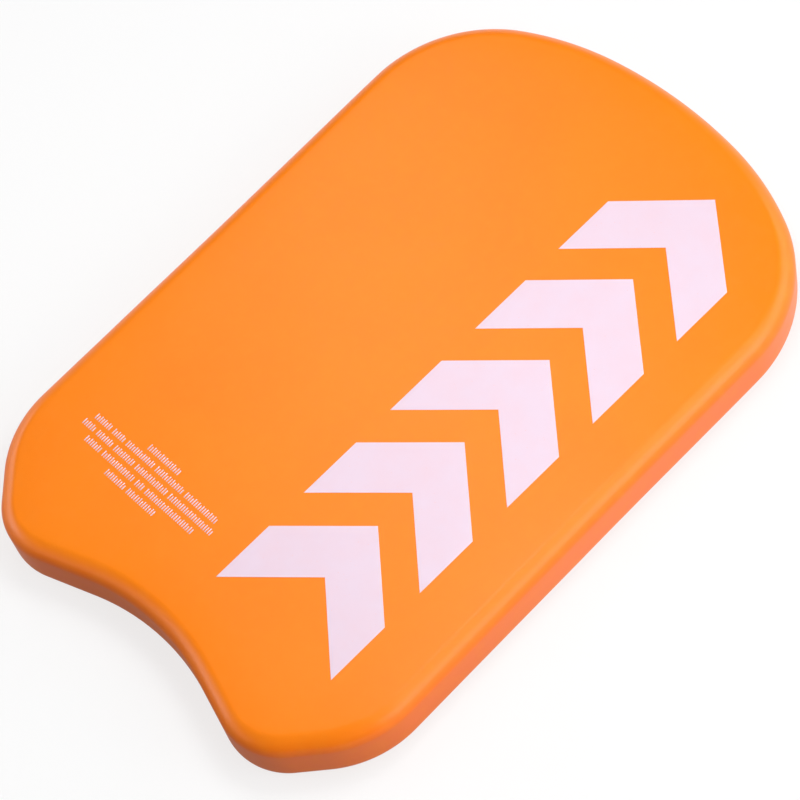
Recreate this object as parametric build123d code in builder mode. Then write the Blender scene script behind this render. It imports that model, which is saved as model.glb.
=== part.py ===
from build123d import *
from math import cos, radians, sin
import os

# Kickboard float: one moulded closed-cell foam board with ink printed on its top face.
# Millimetres. The origin is on the underside, in the middle of the board.
# +X is the swimmer's right, +Y points to the rounded nose and +Z is up.

# ---- board: overall size ----
LENGTH = 430.0
WIDTH = 285.0
THICKNESS = 40.0

# ---- board: nose, three tangent arcs from the centre line to the side ----
NOSE_RADIUS = 280.0          # flattest arc, across the centre line
NOSE_TURN = 9.0              # degrees that it turns on each side
BOW_RADIUS = 176.0           # arc between the nose and the front corner
BOW_TURN = 18.5

# ---- board: sides, drawn in very slightly along their middle ----
WAIST_HALF_WIDTH = 141.6
WAIST_Y = -10.0

# ---- board: tail, with a shallow hand notch between two rounded lobes ----
NOTCH_DEPTH = 18.5
NOTCH_FLANK_ANGLE = 18.5     # degrees between a notch flank and the cross direction
NOTCH_FLANK_LENGTH = 30.0
LOBE_RADIUS = 37.5
TAIL_FLANK_ANGLE = 47.0      # degrees between the outer tail flank and the cross direction
TAIL_FLANK_LENGTH = 18.5
TAIL_CORNER_RADIUS = 66.5

# ---- board: edge section, the same above and below ----
EDGE_RADIUS = 11.0
EDGE_TURN = 68.0             # degrees that the edge turns before it breaks into the flat face

# ---- ink ----
INK_THICKNESS = 0.2
PRINT_TURN = -0.95           # degrees that the whole print sits turned on the board

# ---- chevron band: five bold chevrons that point to the nose ----
CHEVRONS = 5
CHEVRON_X = 60.8             # centre of the band
CHEVRON_TIP_Y = 177.0        # tip of the chevron nearest the nose
CHEVRON_PITCH = 64.6
CHEVRON_HALF_WIDTH = 43.7
CHEVRON_SWEEP = 38.0         # how far the tip stands ahead of the arm ends
CHEVRON_DEPTH = 39.0         # ink width, measured along the board

# ---- notice block: rows of plain upright ticks, in groups like words ----
NOTICE_X = -54.0
NOTICE_FOOT_Y = -131.8       # foot of the row nearest the nose
NOTICE_PITCH = 6.4
TICK_WIDTH = 0.6
TICK_PITCH = 1.55
TICK_HEIGHTS = (3.8, 3.0, 3.8, 3.4)      # repeated along each row
GROUP_GAP = 1.7                          # extra space between two groups
NOTICE_ROWS = (
    (16,),
    (8, 6, 14, 14, 16),
    (6, 8, 10, 16, 22),
    (8, 16, 4, 24),
    (10, 14),
)

# ---- worked out from the dimensions above ----
FRONT_TURN = NOSE_TURN + BOW_TURN
NOSE_REACH = NOSE_RADIUS * sin(radians(NOSE_TURN))
BOW_REACH = BOW_RADIUS * (sin(radians(FRONT_TURN)) - sin(radians(NOSE_TURN)))
FRONT_CORNER_RADIUS = (WIDTH / 2 - NOSE_REACH - BOW_REACH) / (1 - sin(radians(FRONT_TURN)))
FLANK_DROP = NOTCH_FLANK_LENGTH * sin(radians(NOTCH_FLANK_ANGLE))
ARC_DROP = 1 - cos(radians(NOTCH_FLANK_ANGLE))
NOTCH_RADIUS = (NOTCH_DEPTH - FLANK_DROP) / ARC_DROP - LOBE_RADIUS
EDGE_SKIM = EDGE_RADIUS * (1 - sin(radians(EDGE_TURN)))

PRINT_PLANE = Plane.XY.offset(THICKNESS).rotated((0, 0, PRINT_TURN))

os.makedirs("parts", exist_ok=True)


def save(part, label):
    """Label a finished piece and write it as its own STEP file."""
    part.label = label
    export_step(part, f"parts/{label}.step")


# ---- foam_board: the moulded foam body ----
with BuildPart() as foam_board:
    with BuildSketch(Plane.XY.offset(-EDGE_SKIM)):
        with BuildLine():
            # from the middle of the nose clockwise to the right side
            nose = JernArc((0, LENGTH / 2), (1, 0), NOSE_RADIUS, -NOSE_TURN)
            bow = JernArc(nose @ 1, nose % 1, BOW_RADIUS, -BOW_TURN)
            front_corner = JernArc(bow @ 1, bow % 1, FRONT_CORNER_RADIUS, FRONT_TURN - 90)
            # from the middle of the notch round the lobe to the right side
            notch = JernArc((0, NOTCH_DEPTH - LENGTH / 2), (1, 0), NOTCH_RADIUS, -NOTCH_FLANK_ANGLE)
            notch_flank = PolarLine(notch @ 1, NOTCH_FLANK_LENGTH, direction=notch % 1)
            lobe_turn = NOTCH_FLANK_ANGLE + TAIL_FLANK_ANGLE
            lobe = JernArc(notch_flank @ 1, notch_flank % 1, LOBE_RADIUS, lobe_turn)
            tail_flank = PolarLine(lobe @ 1, TAIL_FLANK_LENGTH, direction=lobe % 1)
            tail_turn = 90 - TAIL_FLANK_ANGLE
            tail_corner = JernArc(tail_flank @ 1, tail_flank % 1, TAIL_CORNER_RADIUS, tail_turn)
            # the side joins the two stretches and narrows a little at the waist
            Spline(
                front_corner @ 1,
                (WAIST_HALF_WIDTH, WAIST_Y),
                tail_corner @ 1,
                tangents=((0, -1), (0, -1)),
            )
            mirror(about=Plane.YZ)
        make_face()
    extrude(amount=THICKNESS + 2 * EDGE_SKIM)
    rims = foam_board.edges().group_by(Axis.Z)
    fillet(rims[0] + rims[-1], EDGE_RADIUS)
    # the flat faces cut the rounded edges a little early, which leaves a faint break
    split(bisect_by=Plane.XY.offset(THICKNESS), keep=Keep.BOTTOM)
    split(bisect_by=Plane.XY, keep=Keep.TOP)
save(foam_board.part, "foam_board")

# ---- deck_chevron_1 to deck_chevron_5: the bold band along the right half, tail to nose ----
for number in range(1, CHEVRONS + 1):
    tip_y = CHEVRON_TIP_Y - (CHEVRONS - number) * CHEVRON_PITCH
    with BuildPart() as chevron:
        with BuildSketch(PRINT_PLANE):
            with BuildLine():
                Polyline(
                    (CHEVRON_X, tip_y),
                    (CHEVRON_X + CHEVRON_HALF_WIDTH, tip_y - CHEVRON_SWEEP),
                    (CHEVRON_X + CHEVRON_HALF_WIDTH, tip_y - CHEVRON_SWEEP - CHEVRON_DEPTH),
                    (CHEVRON_X, tip_y - CHEVRON_DEPTH),
                    (CHEVRON_X - CHEVRON_HALF_WIDTH, tip_y - CHEVRON_SWEEP - CHEVRON_DEPTH),
                    (CHEVRON_X - CHEVRON_HALF_WIDTH, tip_y - CHEVRON_SWEEP),
                    close=True,
                )
            make_face()
        extrude(amount=INK_THICKNESS)
    save(chevron.part, f"deck_chevron_{number}")


def tick_places(groups):
    """Where a row's ticks stand, with the row centred on zero."""
    places = []
    x = 0.0
    for count in groups:
        for _ in range(count):
            places.append(x)
            x += TICK_PITCH
        x += GROUP_GAP
    middle = (places[0] + places[-1]) / 2
    return [place - middle for place in places]


# ---- notice_row_1 to notice_row_5: the small block near the left tail lobe, nose to tail ----
for number, groups in enumerate(NOTICE_ROWS, start=1):
    foot_y = NOTICE_FOOT_Y - (number - 1) * NOTICE_PITCH
    with BuildPart() as notice_row:
        with BuildSketch(PRINT_PLANE):
            for index, x in enumerate(tick_places(groups)):
                height = TICK_HEIGHTS[index % len(TICK_HEIGHTS)]
                with Locations((NOTICE_X + x, foot_y)):
                    Rectangle(TICK_WIDTH, height, align=(Align.CENTER, Align.MIN))
        extrude(amount=INK_THICKNESS)
    save(notice_row.part, f"notice_row_{number}")
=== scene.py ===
"""Looks of a moulded foam kickboard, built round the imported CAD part. Metres, in the part's own frame."""

from math import ceil, cos, pi, radians, sin, sqrt

import bpy
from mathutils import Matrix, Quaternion, Vector
from mathutils.geometry import delaunay_2d_cdt
from mathutils.kdtree import KDTree
from mathutils.noise import noise


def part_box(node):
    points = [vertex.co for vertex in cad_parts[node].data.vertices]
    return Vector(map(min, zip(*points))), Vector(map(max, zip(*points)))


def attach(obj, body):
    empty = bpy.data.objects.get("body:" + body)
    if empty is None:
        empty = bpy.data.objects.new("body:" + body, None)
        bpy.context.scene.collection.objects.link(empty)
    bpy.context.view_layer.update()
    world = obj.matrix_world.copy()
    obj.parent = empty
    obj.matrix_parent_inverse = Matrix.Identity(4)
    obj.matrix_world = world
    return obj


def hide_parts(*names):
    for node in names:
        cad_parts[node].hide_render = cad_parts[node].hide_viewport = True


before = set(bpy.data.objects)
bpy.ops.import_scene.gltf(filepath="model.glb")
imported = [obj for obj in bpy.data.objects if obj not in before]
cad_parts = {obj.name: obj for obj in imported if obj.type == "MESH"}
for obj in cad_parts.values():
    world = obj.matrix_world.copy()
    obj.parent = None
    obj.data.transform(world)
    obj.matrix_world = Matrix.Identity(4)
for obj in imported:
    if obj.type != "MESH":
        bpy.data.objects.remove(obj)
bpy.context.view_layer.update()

MM = 0.001

# ---- board: its box from the frame, and the shape of its outline and edge ----
BOARD_LOW, BOARD_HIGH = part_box("foam_board")
LENGTH = BOARD_HIGH.y - BOARD_LOW.y
WIDTH = BOARD_HIGH.x - BOARD_LOW.x
THICKNESS = BOARD_HIGH.z - BOARD_LOW.z

NOSE_RADIUS = 280 * MM
NOSE_TURN = 9.0
BOW_RADIUS = 176 * MM
BOW_TURN = 18.5
WAIST_HALF_WIDTH = 141.6 * MM
WAIST_Y = -10 * MM
NOTCH_DEPTH = 18.5 * MM
NOTCH_FLANK_ANGLE = 18.5
NOTCH_FLANK_LENGTH = 30 * MM
LOBE_RADIUS = 37.5 * MM
TAIL_FLANK_ANGLE = 47.0
TAIL_FLANK_LENGTH = 18.5 * MM
TAIL_CORNER_RADIUS = 66.5 * MM

EDGE_RADIUS = 11 * MM
EDGE_TURN = 68.0             # how far the edge turns before it breaks into the face, in degrees
EDGE_WIDEN = 1.3             # the whole edge is then made this much wider, and no deeper
BREAK_RADIUS = 5 * MM        # softens the break between the rounded edge and the face
CROWN_TILT = 3.0             # how far the face leans down where it meets the unwidened edge, in degrees
CROWN_REACH = 20 * MM        # how far in from the edge that lean fades out

FRONT_TURN = NOSE_TURN + BOW_TURN
NOSE_REACH = NOSE_RADIUS * sin(radians(NOSE_TURN))
BOW_REACH = BOW_RADIUS * (sin(radians(FRONT_TURN)) - sin(radians(NOSE_TURN)))
FRONT_CORNER_RADIUS = (WIDTH / 2 - NOSE_REACH - BOW_REACH) / (1 - sin(radians(FRONT_TURN)))
FLANK_DROP = NOTCH_FLANK_LENGTH * sin(radians(NOTCH_FLANK_ANGLE))
NOTCH_RADIUS = (NOTCH_DEPTH - FLANK_DROP) / (1 - cos(radians(NOTCH_FLANK_ANGLE))) - LOBE_RADIUS

# ---- print: where the ink lies ----
PRINT_TURN = radians(-0.95)
CHEVRONS = 5
CHEVRON_X = 60.8 * MM
CHEVRON_TIP_Y = 177 * MM
CHEVRON_PITCH = 64.6 * MM
CHEVRON_HALF_WIDTH = 43.7 * MM
CHEVRON_SWEEP = 38 * MM
CHEVRON_DEPTH = 39 * MM
NOTICE_X = -54 * MM
NOTICE_FOOT_Y = -131.8 * MM
NOTICE_PITCH = 6.4 * MM
TICK_WIDTH = 0.6 * MM
TICK_CUT = 0.15 * MM         # how far a tick's corners are cut off
TICK_PITCH = 1.55 * MM
TICK_HEIGHTS = (3.8 * MM, 3.0 * MM, 3.8 * MM, 3.4 * MM)
GROUP_GAP = 1.7 * MM
NOTICE_ROWS = ((16,), (8, 6, 14, 14, 16), (6, 8, 10, 16, 22), (8, 16, 4, 24), (10, 14))
INK_HEIGHT = 0.12 * MM       # the ink's top above the foam
INK_ROOT = 0.10 * MM         # how far the ink's base is bedded in the foam
INK_BEVEL = 0.06 * MM
INK_RIM = 0.25 * MM          # a narrow ring inside the bevel, which keeps the top's shading flat

# ---- mesh fineness ----
OUTLINE_STEP = 1.8 * MM
FACE_STEP = 5 * MM
INK_STEP = 3 * MM
WALL_RINGS = 8
ARC_RINGS = 16
BREAK_RINGS = 6
CROWN_RINGS = (0.8 * MM, 2 * MM, 4 * MM, 7 * MM)    # rings of the face, by their distance from its rim
FILL_MARGIN = 0.6            # how near a face's inner points may come to its rings, in steps

# ---- slow waves that keep a moulded face from being a perfect plane ----
WAVE_LENGTH = 62 * MM
WAVE_HEIGHT = 0.09 * MM
WAVE_SEED = 3.7
SMALL_WAVE_SEED = 9.1
SMALL_WAVE_RATIO = 2.6       # how much shorter the small waves are
SMALL_WAVE_SHARE = 0.35      # how high they are, as a share of the broad waves
WALL_WAVE_LENGTH = 45 * MM
WALL_WAVE_HEIGHT = 0.10 * MM
EDGE_BLEND = 12 * MM         # depth below a face over which its waves die away


# ---------------------------------------------------------------- camera
def make_camera():
    aim = Vector((-2.77, -10.84, 0.0)) * MM
    distance = 1745.5 * MM
    elevation = radians(60.98)
    azimuth = radians(-29.66)
    roll = radians(-18.154)
    away = Vector((cos(elevation) * cos(azimuth), cos(elevation) * sin(azimuth), sin(elevation)))
    data = bpy.data.cameras.new("camera")
    data.sensor_width = 36.0
    data.lens = 144.0
    data.clip_start = 0.05
    data.clip_end = 60.0
    camera = bpy.data.objects.new("camera", data)
    camera.rotation_mode = "QUATERNION"
    camera.rotation_quaternion = away.to_track_quat("Z", "Y") @ Quaternion((0, 0, 1), roll)
    camera.location = aim + away * distance
    bpy.context.scene.collection.objects.link(camera)
    bpy.context.scene.camera = camera


# ---------------------------------------------------------------- mesh helpers
def add_mesh(name, points, faces, material):
    """A smooth-shaded mesh object from plain lists."""
    mesh = bpy.data.meshes.new(name)
    mesh.from_pydata(points, [], faces)
    mesh.materials.append(material)
    mesh.validate()
    mesh.shade_smooth()
    piece = bpy.data.objects.new(name, mesh)
    bpy.context.scene.collection.objects.link(piece)
    return piece


def is_inside(x, y, loop):
    """Whether a point lies inside a closed loop of points."""
    inside = False
    x1, y1 = loop[-1]
    for x2, y2 in loop:
        if (y1 > y) != (y2 > y) and x < x1 + (y - y1) * (x2 - x1) / (y2 - y1):
            inside = not inside
        x1, y1 = x2, y2
    return inside


def fill_loop(loop, step):
    """Even triangles inside a closed loop: the points, the loop's own first, and the triangles."""
    tree = KDTree(len(loop))
    for index, (x, y) in enumerate(loop):
        tree.insert((x, y, 0), index)
    tree.balance()
    low_x = min(x for x, _ in loop)
    high_x = max(x for x, _ in loop)
    low_y = min(y for _, y in loop)
    high_y = max(y for _, y in loop)
    row_step = step * sqrt(3) / 2
    inner = []
    for row in range(ceil((high_y - low_y) / row_step)):
        y = low_y + row * row_step
        for column in range(ceil((high_x - low_x) / step) + 1):
            x = low_x + (column + 0.5 * (row % 2)) * step
            if tree.find((x, y, 0))[2] > FILL_MARGIN * step and is_inside(x, y, loop):
                inner.append((x, y))
    flat = [Vector(point) for point in loop + inner]
    count = len(loop)
    made = delaunay_2d_cdt(flat, [], [list(range(count))], 1, 1e-9)
    first = [origins[0] for origins in made[3]]
    return [tuple(point) for point in flat], [[first[i] for i in face] for face in made[2]]


# ---------------------------------------------------------------- board shape
def add_arc(path, radius, turn):
    """Carries the path on round an arc. A path point is (x, y, heading), and a positive turn bends left."""
    x, y, heading = path[-1]
    side = 1 if turn > 0 else -1
    sweep = radians(turn)
    centre_x = x - side * radius * sin(heading)
    centre_y = y + side * radius * cos(heading)
    steps = max(2, ceil(abs(sweep) * radius / OUTLINE_STEP))
    for step in range(1, steps + 1):
        angle = heading + sweep * step / steps
        point_x = centre_x + side * radius * sin(angle)
        point_y = centre_y - side * radius * cos(angle)
        path.append((point_x, point_y, angle))


def add_line(path, length):
    """Carries the path on straight ahead."""
    x, y, heading = path[-1]
    steps = max(1, ceil(length / OUTLINE_STEP))
    for step in range(1, steps + 1):
        reach = length * step / steps
        path.append((x + reach * cos(heading), y + reach * sin(heading), heading))


def side_stretch(start, end):
    """The side from the front corner to the tail corner, drawn in gently to the waist."""
    waist = (WAIST_HALF_WIDTH, WAIST_Y)
    stretch = []
    for (x0, y0), (x1, y1) in ((start[:2], waist), (waist, end[:2])):
        steps = ceil((y0 - y1) / OUTLINE_STEP)
        for step in range(1, steps + 1):
            t = step / steps
            ease = t * t * (3 - 2 * t)
            lean = 6 * t * (1 - t) * (x1 - x0) / (y0 - y1)
            stretch.append((x0 + (x1 - x0) * ease, y0 + (y1 - y0) * t, lean - pi / 2))
    return stretch[:-1]


def board_outline():
    """Points clockwise round the board from the nose, each as (x, y, outward x, outward y)."""
    front = [(0.0, LENGTH / 2, 0.0)]
    add_arc(front, NOSE_RADIUS, -NOSE_TURN)
    add_arc(front, BOW_RADIUS, -BOW_TURN)
    add_arc(front, FRONT_CORNER_RADIUS, FRONT_TURN - 90)
    tail = [(0.0, NOTCH_DEPTH - LENGTH / 2, 0.0)]
    add_arc(tail, NOTCH_RADIUS, -NOTCH_FLANK_ANGLE)
    add_line(tail, NOTCH_FLANK_LENGTH)
    add_arc(tail, LOBE_RADIUS, NOTCH_FLANK_ANGLE + TAIL_FLANK_ANGLE)
    add_line(tail, TAIL_FLANK_LENGTH)
    add_arc(tail, TAIL_CORNER_RADIUS, 90 - TAIL_FLANK_ANGLE)
    right = front + side_stretch(front[-1], tail[-1])
    right += [(x, y, heading - pi) for x, y, heading in reversed(tail)]
    half = [(x, y, -sin(heading), cos(heading)) for x, y, heading in right]
    return half + [(-x, y, -nx, ny) for x, y, nx, ny in reversed(half[1:-1])]


def edge_section():
    """The upper edge from the wall up onto the face, as (inset, depth below the face's middle)."""
    skim = EDGE_RADIUS * (1 - sin(radians(EDGE_TURN)))
    crown = CROWN_REACH * sin(radians(CROWN_TILT)) / 2 / EDGE_WIDEN
    rise = EDGE_RADIUS - skim - BREAK_RADIUS
    inset = sqrt((EDGE_RADIUS - BREAK_RADIUS) ** 2 - rise**2)
    break_from = Vector((inset, rise)).angle(Vector((1, 0)))
    section = []
    for ring in range(ARC_RINGS + 1):
        angle = break_from * ring / ARC_RINGS
        across = EDGE_RADIUS * (1 - cos(angle))
        depth = crown + EDGE_RADIUS - skim - EDGE_RADIUS * sin(angle)
        section.append((across * EDGE_WIDEN, depth))
    break_to = pi / 2 - radians(CROWN_TILT)
    for ring in range(1, BREAK_RINGS + 1):
        angle = break_from + (break_to - break_from) * ring / BREAK_RINGS
        across = EDGE_RADIUS - inset - BREAK_RADIUS * cos(angle)
        depth = crown + BREAK_RADIUS * (1 - sin(angle))
        section.append((across * EDGE_WIDEN, depth))
    face_inset, face_depth = section[-1]
    for inward in CROWN_RINGS:
        section.append((face_inset + inward, face_depth * (1 - inward / CROWN_REACH) ** 2))
    return section


OUTLINE = board_outline()
SECTION = edge_section()
WALL_DEPTH = SECTION[0][1]
FACE_INSET, FACE_DEPTH = SECTION[-1 - len(CROWN_RINGS)]
OUTLINE_TREE = KDTree(len(OUTLINE))
for outline_index, outline_point in enumerate(OUTLINE):
    OUTLINE_TREE.insert((outline_point[0], outline_point[1], 0), outline_index)
OUTLINE_TREE.balance()


def face_wave(x, y, side):
    """The slow wave of one face. Side is 1 for the top and -1 for the underside."""
    u = x / WAVE_LENGTH
    v = y / WAVE_LENGTH
    broad = noise(Vector((u, v, WAVE_SEED * side)))
    small = noise(Vector((u * SMALL_WAVE_RATIO, v * SMALL_WAVE_RATIO, SMALL_WAVE_SEED * side)))
    return WAVE_HEIGHT * (broad + SMALL_WAVE_SHARE * small)


def face_height(x, y, side):
    """How far a face's surface at a point is above the plane of its middle: the edge leans down."""
    inward = OUTLINE_TREE.find((x, y, 0))[2] - FACE_INSET
    t = min(1.0, max(0.0, inward / CROWN_REACH))
    return face_wave(x, y, side) - FACE_DEPTH * (1 - t) ** 2


def edge_point(outline_point, inset, depth, side):
    """A point of a ring on the wall or a rounded edge, with the waves of wall and face."""
    x, y, out_x, out_y = outline_point
    z = THICKNESS - depth if side > 0 else depth
    seed = Vector((x, y, z)) / WALL_WAVE_LENGTH
    shift = WALL_WAVE_HEIGHT * noise(seed) - inset
    fade = max(0.0, 1 - depth / EDGE_BLEND)
    wave = face_wave(x - out_x * inset, y - out_y * inset, side) * fade * fade * (3 - 2 * fade)
    return (x + out_x * shift, y + out_y * shift, z + side * wave)


def make_board(material):
    """One closed skin: the wall, both rounded edges and both faces."""
    count = len(OUTLINE)
    rings = [(inset, depth, -1) for inset, depth in reversed(SECTION)]
    for ring in range(1, WALL_RINGS):
        depth = WALL_DEPTH + (THICKNESS - 2 * WALL_DEPTH) * ring / WALL_RINGS
        rings.append((0.0, depth, -1) if ring < WALL_RINGS / 2 else (0.0, THICKNESS - depth, 1))
    rings += [(inset, depth, 1) for inset, depth in SECTION]
    points = []
    for inset, depth, side in rings:
        points += [edge_point(point, inset, depth, side) for point in OUTLINE]
    faces = []
    for ring in range(len(rings) - 1):
        for index in range(count):
            following = (index + 1) % count
            low = ring * count
            faces.append((low + index, low + index + count, low + following + count, low + following))
    for side, first in ((-1, 0), (1, (len(rings) - 1) * count)):
        loop = [points[first + index][:2] for index in range(count)]
        flat, triangles = fill_loop(loop, FACE_STEP)
        base = len(points)
        for x, y in flat[count:]:
            height = face_height(x, y, side)
            points.append((x, y, THICKNESS + height if side > 0 else -height))
        lookup = [first + index for index in range(count)]
        lookup += [base + index for index in range(len(flat) - count)]
        for triangle in triangles:
            corners = [lookup[index] for index in triangle]
            faces.append(corners if side > 0 else corners[::-1])
    return add_mesh("board_foam", points, faces, material)


# ---------------------------------------------------------------- print shape
def on_board(x, y):
    """A point of the print, turned with it onto the board."""
    return x * cos(PRINT_TURN) - y * sin(PRINT_TURN), x * sin(PRINT_TURN) + y * cos(PRINT_TURN)


def inset_loop(loop, amount):
    """An anticlockwise loop drawn in by an amount, corner by corner."""
    drawn = []
    for index, corner in enumerate(loop):
        here = Vector(corner)
        back = (here - Vector(loop[index - 1])).normalized()
        ahead = (Vector(loop[(index + 1) % len(loop)]) - here).normalized()
        normal = Vector((-back.y - ahead.y, back.x + ahead.x))
        normal *= 2 * amount / normal.length_squared
        drawn.append(tuple(here + normal))
    return drawn


def divided(loop, step):
    """A loop with points added along its straight runs."""
    fine = []
    for index, (x0, y0) in enumerate(loop):
        x1, y1 = loop[(index + 1) % len(loop)]
        steps = max(1, round(sqrt((x1 - x0) ** 2 + (y1 - y0) ** 2) / step))
        fine += [(x0 + (x1 - x0) * t / steps, y0 + (y1 - y0) * t / steps) for t in range(steps)]
    return fine


def add_ink(points, faces, loop, step):
    """Adds one closed island of ink: it follows the foam, with a bevelled rim and a bedded base.

    Without a step, as for a small tick, its top and its base are one face each.
    """
    if step:
        loop = divided(loop, step)
    rings = [(loop, -INK_ROOT), (loop, INK_HEIGHT - INK_BEVEL), (inset_loop(loop, INK_BEVEL), INK_HEIGHT)]
    if step:
        rings.append((inset_loop(loop, INK_BEVEL + INK_RIM), INK_HEIGHT))
    count = len(loop)
    first = len(points)
    last = first + (len(rings) - 1) * count
    for ring, height in rings:
        for x, y in ring:
            x, y = on_board(x, y)
            points.append((x, y, THICKNESS + face_height(x, y, 1) + height))
    for low in range(first, last, count):
        for index in range(count):
            following = (index + 1) % count
            faces.append((low + index, low + following, low + following + count, low + index + count))
    if not step:
        faces.append(tuple(range(last, last + count)))
        faces.append(tuple(range(first + count - 1, first - 1, -1)))
        return
    flat, triangles = fill_loop(rings[-1][0], step)
    top_first = len(points)
    for height in (INK_HEIGHT, -INK_ROOT):
        for x, y in flat[count:]:
            x, y = on_board(x, y)
            points.append((x, y, THICKNESS + face_height(x, y, 1) + height))
    base_first = top_first + len(flat) - count
    for triangle in triangles:
        faces.append([last + i if i < count else top_first + i - count for i in triangle])
        faces.append([first + i if i < count else base_first + i - count for i in triangle[::-1]])


def make_chevron(number, material):
    tip_y = CHEVRON_TIP_Y - (CHEVRONS - number) * CHEVRON_PITCH
    right = CHEVRON_X + CHEVRON_HALF_WIDTH
    left = CHEVRON_X - CHEVRON_HALF_WIDTH
    wing_y = tip_y - CHEVRON_SWEEP
    loop = [
        (CHEVRON_X, tip_y),
        (left, wing_y),
        (left, wing_y - CHEVRON_DEPTH),
        (CHEVRON_X, tip_y - CHEVRON_DEPTH),
        (right, wing_y - CHEVRON_DEPTH),
        (right, wing_y),
    ]
    points = []
    faces = []
    add_ink(points, faces, loop, INK_STEP)
    return add_mesh(f"ink_chevron_{number}", points, faces, material)


def tick_places(groups):
    """Where a row's ticks stand, with the row centred on zero."""
    places = []
    x = 0.0
    for count in groups:
        for _ in range(count):
            places.append(x)
            x += TICK_PITCH
        x += GROUP_GAP
    middle = (places[0] + places[-1]) / 2
    return [place - middle for place in places]


def make_notice_row(number, groups, material):
    foot_y = NOTICE_FOOT_Y - (number - 1) * NOTICE_PITCH
    points = []
    faces = []
    for index, place in enumerate(tick_places(groups)):
        height = TICK_HEIGHTS[index % len(TICK_HEIGHTS)]
        left = NOTICE_X + place - TICK_WIDTH / 2
        right = left + TICK_WIDTH
        loop = [
            (left + TICK_CUT, foot_y),
            (right - TICK_CUT, foot_y),
            (right, foot_y + TICK_CUT),
            (right, foot_y + height - TICK_CUT),
            (right - TICK_CUT, foot_y + height),
            (left + TICK_CUT, foot_y + height),
            (left, foot_y + height - TICK_CUT),
            (left, foot_y + TICK_CUT),
        ]
        add_ink(points, faces, loop, None)
    return add_mesh(f"ink_row_{number}", points, faces, material)


# ---------------------------------------------------------------- materials
class Nodes:
    """Short-hand for building a node tree."""

    def __init__(self, tree):
        self.tree = tree
        tree.nodes.clear()

    def add(self, kind, links=None, **settings):
        """A node with its properties set, and its sockets linked or set from a dict."""
        node = self.tree.nodes.new(kind)
        for key, value in settings.items():
            setattr(node, key, value)
        for key, value in (links or {}).items():
            if isinstance(value, bpy.types.NodeSocket):
                self.tree.links.new(value, node.inputs[key])
            else:
                node.inputs[key].default_value = value
        return node


def noise_at(nodes, place, size, detail, roughness=0.5):
    """A noise whose features are about size metres across."""
    settings = {"Vector": place, "Scale": 1 / size, "Detail": detail, "Roughness": roughness}
    return nodes.add("ShaderNodeTexNoise", settings).outputs["Fac"]


def between(nodes, value, low, high, to_low, to_high):
    """A value's range moved to another range, held at its ends."""
    sockets = {0: value, 1: low, 2: high, 3: to_low, 4: to_high}
    return nodes.add("ShaderNodeMapRange", sockets).outputs[0]


def mixed(nodes, factor, first, second):
    node = nodes.add("ShaderNodeMix", data_type="RGBA")
    for index, value in ((0, factor), (6, first), (7, second)):
        if isinstance(value, bpy.types.NodeSocket):
            nodes.tree.links.new(value, node.inputs[index])
        else:
            node.inputs[index].default_value = value
    return node.outputs[2]


def sum_of(nodes, first, second, share):
    """first + second * share"""
    sockets = {0: second, 1: share, 2: first}
    return nodes.add("ShaderNodeMath", sockets, operation="MULTIPLY_ADD").outputs[0]


# painted light and shade by height: the faces lit, the rounded edges shaded, the wall shaded and pinker as
# a painted reflection
LIT_FACE_COLOUR = (0.95, 0.224, 0.0010, 1)
SHADED_SHOULDER_COLOUR = (0.95, 0.180, 0.0008, 1)
SHADED_PINK_WALL_COLOUR = (0.95, 0.160, 0.0080, 1)
CLOUD_COLOUR = (0.93, 0.192, 0.0008, 1)
MOTTLE_COLOUR = (0.96, 0.240, 0.0060, 1)
PORE_COLOUR = (0.72, 0.100, 0.0010, 1)
WALL_TOP = THICKNESS / 2 - WALL_DEPTH    # heights here are above or below the board's middle
WALL_MARGIN = 0.2 * MM       # how far below the wall's top its painted shade and painted pink reflection begin to give way
SHOULDER_FADE = 5.0 * MM     # how far above the wall's top that painted shade has given way
FACE_MARGIN = 0.4 * MM       # how far below the face the face's painted light is complete
PEBBLE_SIZE = 0.9 * MM
PEBBLE_ROUGHNESS = 0.6
CLOUD_SIZE = 55 * MM
CLOUD_RANGE = (0.35, 0.7)    # the part of a noise's range over which its effect grows from none to full
MOTTLE_SIZE = 7 * MM
MOTTLE_RANGE = (0.45, 0.8)
GLOSS_RANGE = (0.3, 0.7)
PORE_SPACING = 2.6 * MM
PORE_RIM = (0.05, 0.10)      # where a pore's effect ends, measured from its middle, in spacings
TINT = 0.35                  # the most that clouding, mottling or a pore changes the foam's colour
FOAM_ROUGHNESS = (0.30, 0.36)
FOAM_RELIEF = 0.018 * MM
MOTTLE_RELIEF = 1.6          # shares of the relief, against the pebbling's
PORE_RELIEF = -1.2


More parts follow.
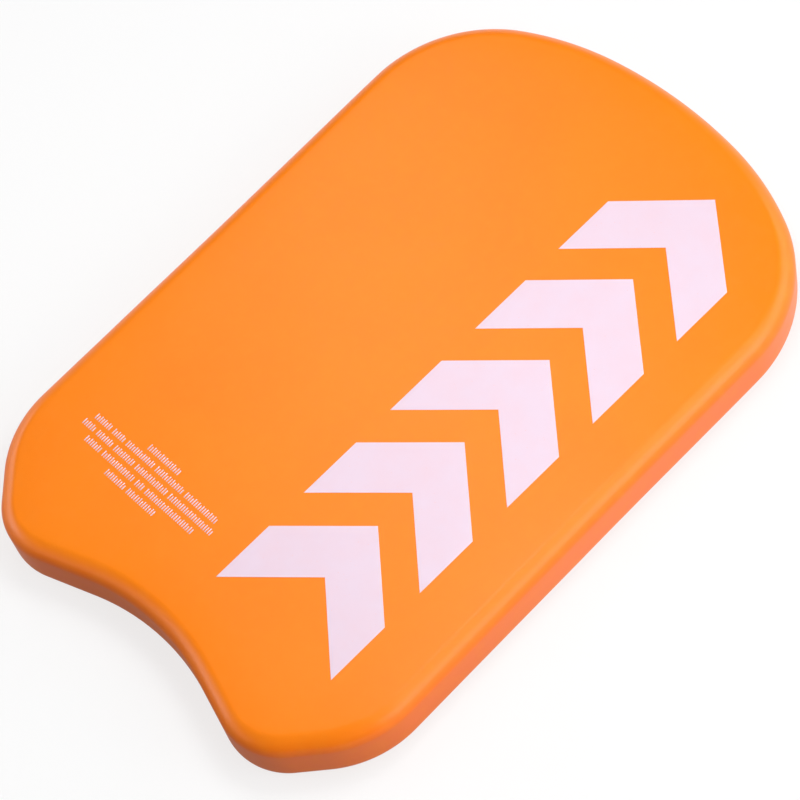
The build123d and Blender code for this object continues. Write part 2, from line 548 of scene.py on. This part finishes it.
def make_foam():
    """Moulded closed-cell foam: a satin skin with fine pebbling, soft clouding and tiny pores.

    Its colour is set by height as painted light and shade: the faces are painted lightest and most yellow,
    the rounded edges darker as painted shade, and the upright wall darker and pinker as painted shade with
    a painted pink reflection.
    """
    material = bpy.data.materials.new("eva_foam")
    material.use_nodes = True
    nodes = Nodes(material.node_tree)
    place = nodes.add("ShaderNodeTexCoord").outputs["Object"]
    height = nodes.add("ShaderNodeSeparateXYZ", {0: place}).outputs[2]
    above = nodes.add("ShaderNodeMath", {0: height, 1: THICKNESS / 2}, operation="SUBTRACT").outputs[0]
    level = nodes.add("ShaderNodeMath", {0: above}, operation="ABSOLUTE").outputs[0]
    # shares of the painted light on the faces and of the painted shade and pink reflection on the wall, by
    # height
    lit_face_share = between(nodes, level, WALL_TOP + SHOULDER_FADE, THICKNESS / 2 - FACE_MARGIN, 0.0, 1.0)
    shaded_wall_share = between(nodes, level, WALL_TOP - WALL_MARGIN, WALL_TOP + SHOULDER_FADE, 1.0, 0.0)
    cloud = noise_at(nodes, place, CLOUD_SIZE, 2)
    mottle = noise_at(nodes, place, MOTTLE_SIZE, 3)
    pebble = noise_at(nodes, place, PEBBLE_SIZE, 2, PEBBLE_ROUGHNESS)
    cells = nodes.add("ShaderNodeTexVoronoi", {"Vector": place, "Scale": 1 / PORE_SPACING})
    pore = between(nodes, cells.outputs["Distance"], *PORE_RIM, 1.0, 0.0)
    # painted light on the faces, painted shade on the rounded edges, painted shade and pink reflection on
    # the wall
    colour = mixed(nodes, lit_face_share, SHADED_SHOULDER_COLOUR, LIT_FACE_COLOUR)
    colour = mixed(nodes, shaded_wall_share, colour, SHADED_PINK_WALL_COLOUR)
    colour = mixed(nodes, between(nodes, cloud, *CLOUD_RANGE, 0.0, TINT), colour, CLOUD_COLOUR)
    colour = mixed(nodes, between(nodes, mottle, *MOTTLE_RANGE, 0.0, TINT), colour, MOTTLE_COLOUR)
    colour = mixed(nodes, between(nodes, pore, 0.0, 1.0, 0.0, TINT), colour, PORE_COLOUR)
    roughness = between(nodes, mottle, *GLOSS_RANGE, *FOAM_ROUGHNESS)
    relief = sum_of(nodes, pebble, mottle, MOTTLE_RELIEF)
    relief = sum_of(nodes, relief, pore, PORE_RELIEF)
    bump = nodes.add("ShaderNodeBump", {"Strength": 1.0, "Distance": FOAM_RELIEF, "Height": relief})
    shader = nodes.add(
        "ShaderNodeBsdfPrincipled",
        {
            "Base Color": colour,
            "Roughness": roughness,
            "Normal": bump.outputs[0],
            "IOR": 1.48,
            "Specular IOR Level": 0.42,
        },
    )
    nodes.add("ShaderNodeOutputMaterial", {"Surface": shader.outputs[0]})
    return material


INK_COLOUR = (0.762, 0.608, 0.717, 1)
INK_THIN = (0.772, 0.586, 0.680, 1)
INK_PINHOLE = (0.85, 0.38, 0.28, 1)
COVER_SIZE = 16 * MM
COVER_RANGE = (0.35, 0.75)
PINHOLE_SPACING = 3.4 * MM
PINHOLE_RIM = (0.03, 0.07)
PINHOLE_SHARE = 0.6          # how much of a pinhole's own colour shows
INK_ROUGHNESS = (0.44, 0.52)
INK_RELIEF = 0.012 * MM
PINHOLE_RELIEF = -0.8


def make_ink():
    """Screen-printed ink: opaque, a little uneven in cover, with a few pinholes over the foam's grain."""
    material = bpy.data.materials.new("print_ink")
    material.use_nodes = True
    nodes = Nodes(material.node_tree)
    place = nodes.add("ShaderNodeTexCoord").outputs["Object"]
    cover = noise_at(nodes, place, COVER_SIZE, 3)
    pebble = noise_at(nodes, place, PEBBLE_SIZE, 2, PEBBLE_ROUGHNESS)
    cells = nodes.add("ShaderNodeTexVoronoi", {"Vector": place, "Scale": 1 / PINHOLE_SPACING})
    pinhole = between(nodes, cells.outputs["Distance"], *PINHOLE_RIM, PINHOLE_SHARE, 0.0)
    colour = mixed(nodes, between(nodes, cover, *COVER_RANGE, 0.0, 1.0), INK_COLOUR, INK_THIN)
    colour = mixed(nodes, pinhole, colour, INK_PINHOLE)
    roughness = between(nodes, cover, *GLOSS_RANGE, *INK_ROUGHNESS)
    relief = sum_of(nodes, pebble, pinhole, PINHOLE_RELIEF)
    bump = nodes.add("ShaderNodeBump", {"Strength": 1.0, "Distance": INK_RELIEF, "Height": relief})
    shader = nodes.add(
        "ShaderNodeBsdfPrincipled",
        {
            "Base Color": colour,
            "Roughness": roughness,
            "Normal": bump.outputs[0],
            "IOR": 1.46,
            "Specular IOR Level": 0.36,
        },
    )
    nodes.add("ShaderNodeOutputMaterial", {"Surface": shader.outputs[0]})
    return material


# ---------------------------------------------------------------- stage and light
FLOOR_HALF = 9.0
FLOOR_GAP = 0.05 * MM        # how far the floor lies below the board
FLOOR_SEEN = 0.90            # how pale the floor looks where light falls on it
FLOOR_LIFT = 0.75            # how much of its look is plain white, which lifts its shadows
BOUNCE_RIGHT = 0.80          # the light it throws back at the board from each side
BOUNCE_LEFT = 1.0
BOUNCE_NOSE = 0.8
BOUNCE_TAIL = 0.22
BOUNCE_FAR = 1.9             # how many times more it throws back further off, at the right and the nose
BOUNCE_FAR_FROM = 0.22       # the distances from the board's middle over which that grows
BOUNCE_FAR_TO = 0.45
WORLD_LIGHT = 0.32           # the studio's light from its lightest side
WORLD_DIM = 0.08             # and from its darkest side
WORLD_AXIS = (0.35, 0.55, 0.76)   # towards its lightest side
WORLD_RANGE = (-0.5, 1.0)    # how far along that axis a direction lies when it is darkest and lightest
WORLD_SEEN = 0.80            # how pale the studio looks behind the floor


def make_floor():
    """A plain pale floor. It throws little light back at the tail and more at the other sides.

    The camera sees it near white, and its bounced light is set apart from that.
    """
    material = bpy.data.materials.new("studio_floor")
    material.use_nodes = True
    nodes = Nodes(material.node_tree)
    place = nodes.add("ShaderNodeTexCoord").outputs["Object"]
    flat = nodes.add("ShaderNodeVectorMath", {0: place, 1: (1, 1, 0)}, operation="MULTIPLY").outputs[0]
    reach = nodes.add("ShaderNodeVectorMath", {0: flat}, operation="LENGTH").outputs["Value"]
    far = between(nodes, reach, BOUNCE_FAR_FROM, BOUNCE_FAR_TO, 1.0, BOUNCE_FAR)
    way = nodes.add("ShaderNodeVectorMath", {0: flat}, operation="NORMALIZE").outputs[0]
    sides = (
        ((1, 0, 0), BOUNCE_RIGHT, True),
        ((-1, 0, 0), BOUNCE_LEFT, False),
        ((0, 1, 0), BOUNCE_NOSE, True),
        ((0, -1, 0), BOUNCE_TAIL, False),
    )
    bounce = 0.0
    for axis, strength, grows in sides:
        along = nodes.add("ShaderNodeVectorMath", {0: way, 1: axis}, operation="DOT_PRODUCT")
        facing = nodes.add("ShaderNodeMath", {0: along.outputs["Value"], 1: 0.0}, operation="MAXIMUM")
        # squared, so that the shares of all four sides add up to one
        share = nodes.add("ShaderNodeMath", {0: facing.outputs[0], 1: 2.0}, operation="POWER").outputs[0]
        if grows:
            share = nodes.add("ShaderNodeMath", {0: share, 1: far}, operation="MULTIPLY").outputs[0]
        bounce = sum_of(nodes, bounce, share, strength)
    matt = nodes.add("ShaderNodeBsdfDiffuse", {"Color": (FLOOR_SEEN, FLOOR_SEEN, FLOOR_SEEN, 1)})
    lit = nodes.add("ShaderNodeEmission", {"Color": (1, 1, 1, 1), "Strength": 1.0})
    seen = nodes.add("ShaderNodeMixShader", {0: FLOOR_LIFT, 1: matt.outputs[0], 2: lit.outputs[0]})
    thrown = nodes.add("ShaderNodeEmission", {"Color": (1, 1, 1, 1), "Strength": bounce})
    ray = nodes.add("ShaderNodeLightPath").outputs["Is Camera Ray"]
    shader = nodes.add("ShaderNodeMixShader", {0: ray, 1: thrown.outputs[0], 2: seen.outputs[0]})
    nodes.add("ShaderNodeOutputMaterial", {"Surface": shader.outputs[0]})
    points = [(x * FLOOR_HALF, y * FLOOR_HALF, -FLOOR_GAP) for x, y in ((-1, -1), (1, -1), (1, 1), (-1, 1))]
    floor = add_mesh("floor", points, [(0, 1, 2, 3)], material)


def make_world():
    """The studio round the board: soft light that is stronger from one side."""
    world = bpy.data.worlds.new("studio")
    world.use_nodes = True
    nodes = Nodes(world.node_tree)
    way = nodes.add("ShaderNodeTexCoord").outputs["Generated"]
    facing = nodes.add("ShaderNodeVectorMath", {0: way, 1: WORLD_AXIS}, operation="DOT_PRODUCT")
    thrown = between(nodes, facing.outputs["Value"], *WORLD_RANGE, WORLD_DIM, WORLD_LIGHT)
    ray = nodes.add("ShaderNodeLightPath").outputs["Is Camera Ray"]
    strength = between(nodes, ray, 0.0, 1.0, thrown, WORLD_SEEN)
    light = nodes.add("ShaderNodeBackground", {"Color": (1, 1, 1, 1), "Strength": strength})
    nodes.add("ShaderNodeOutputWorld", {"Surface": light.outputs[0]})
    bpy.context.scene.world = world


def add_softbox(name, azimuth, elevation, distance, width, height, radiance, mirrored=True):
    """A soft rectangular light that faces the board. Azimuth 0 is +X and 90 is +Y, in degrees.

    One that isn't mirrored lights the board but doesn't show in its gloss.
    """
    turn = radians(azimuth)
    rise = radians(elevation)
    away = Vector((cos(rise) * cos(turn), cos(rise) * sin(turn), sin(rise)))
    data = bpy.data.lights.new(name, "AREA")
    data.shape = "RECTANGLE"
    data.size = width
    data.size_y = height
    data.energy = radiance * width * height * pi
    light = bpy.data.objects.new(name, data)
    light.rotation_mode = "QUATERNION"
    light.rotation_quaternion = away.to_track_quat("Z", "Y")
    light.location = away * distance
    light.visible_glossy = mirrored
    bpy.context.scene.collection.objects.link(light)


make_camera()
make_floor()
make_world()
# azimuth, elevation, distance, width, height, radiance
add_softbox("bank_right", 12, 26, 2.2, 1.5, 1.3, 2.8)
add_softbox("bank_corner", 44, 26, 2.2, 1.5, 1.3, 2.05)
add_softbox("bank_nose", 76, 22, 2.2, 1.5, 1.1, 1.75)
add_softbox("bank_high", 28, 58, 1.6, 1.0, 0.5, 2.0)
add_softbox("overhead", 30, 78, 0.62, 0.2, 0.2, 12.0, mirrored=False)
add_softbox("left_low", -152, 17, 1.6, 1.6, 0.6, 2.8)
add_softbox("tail_low", -115, 18, 1.6, 1.4, 0.7, 0.9)
add_softbox("back", 149, 61, 1.48, 0.34, 0.85, 2.3)

foam = make_foam()
ink = make_ink()

board = make_board(foam)
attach(board, "root")
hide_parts("foam_board")

for number in range(1, CHEVRONS + 1):
    chevron = make_chevron(number, ink)
    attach(chevron, "root")
    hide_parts(f"deck_chevron_{number}")

for number, groups in enumerate(NOTICE_ROWS, start=1):
    notice_row = make_notice_row(number, groups, ink)
    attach(notice_row, "root")
    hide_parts(f"notice_row_{number}")

bpy.context.scene.view_settings.view_transform = "Standard"
